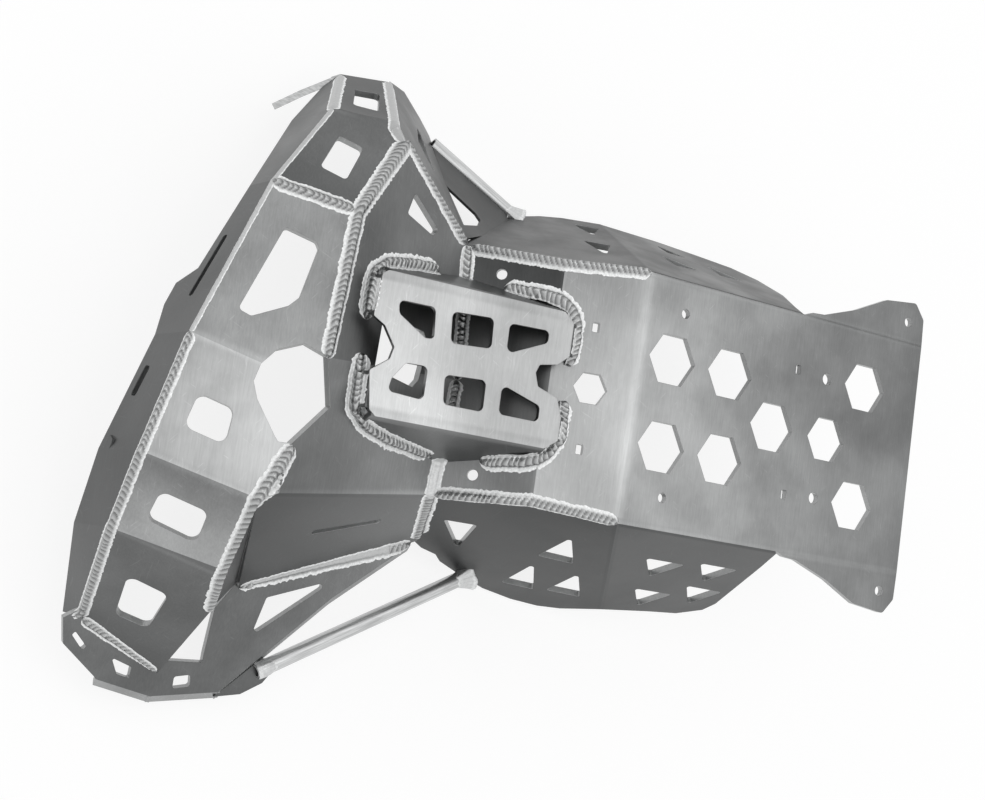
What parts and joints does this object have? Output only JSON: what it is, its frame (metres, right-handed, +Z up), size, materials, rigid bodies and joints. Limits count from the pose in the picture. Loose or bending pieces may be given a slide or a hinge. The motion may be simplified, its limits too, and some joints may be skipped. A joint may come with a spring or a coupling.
{
  "type": "motorcycle engine guard",
  "caption": "Folded aluminium skid plate with cut-out side wings, and a welded sheet cradle in front of it that guards the exhaust pipe.",
  "frame": {"origin": "underside of the floor, midway between the two rear bolt holes", "axes": "+X forward to the pipe cradle, +Y to the left of the bike, +Z up"},
  "size_m": [0.6238, 0.4901, 0.1787],
  "materials": {
    "floor_sheet": "bare rolled aluminium sheet with fine scratches",
    "cradle_sheet": "bare rolled aluminium sheet",
    "band_sheet": "bare rolled aluminium sheet, rubbed",
    "channel_sheet": "bare aluminium, brushed",
    "tube": "drawn aluminium tube",
    "weld": "rippled bead with a frosted border"
  },
  "bodies": {
    "root": {"skid_plate": "floor_sheet", "belly_plate": "cradle_sheet", "front_band": "band_sheet", "band_top_plate": "cradle_sheet", "right_end_plate": "cradle_sheet", "left_end_plate": "cradle_sheet", "front_wall": "cradle_sheet", "bump_channel": "channel_sheet", "right_brace_tube": "tube", "left_brace_tube": "tube", "mounting_tab": "tube", "upper_band_weld": "weld", "lower_band_weld": "weld", "band_joint_weld": "weld", "front_wall_weld": "weld", "band_end_weld": "weld", "right_end_weld": "weld", "left_end_weld": "weld", "left_belly_weld": "weld", "right_belly_weld": "weld", "right_wing_weld": "weld", "left_wing_weld": "weld", "front_left_channel_weld": "weld", "rear_left_channel_weld": "weld", "front_right_channel_weld": "weld", "rear_right_channel_weld": "weld"}
  },
  "joints": []
}
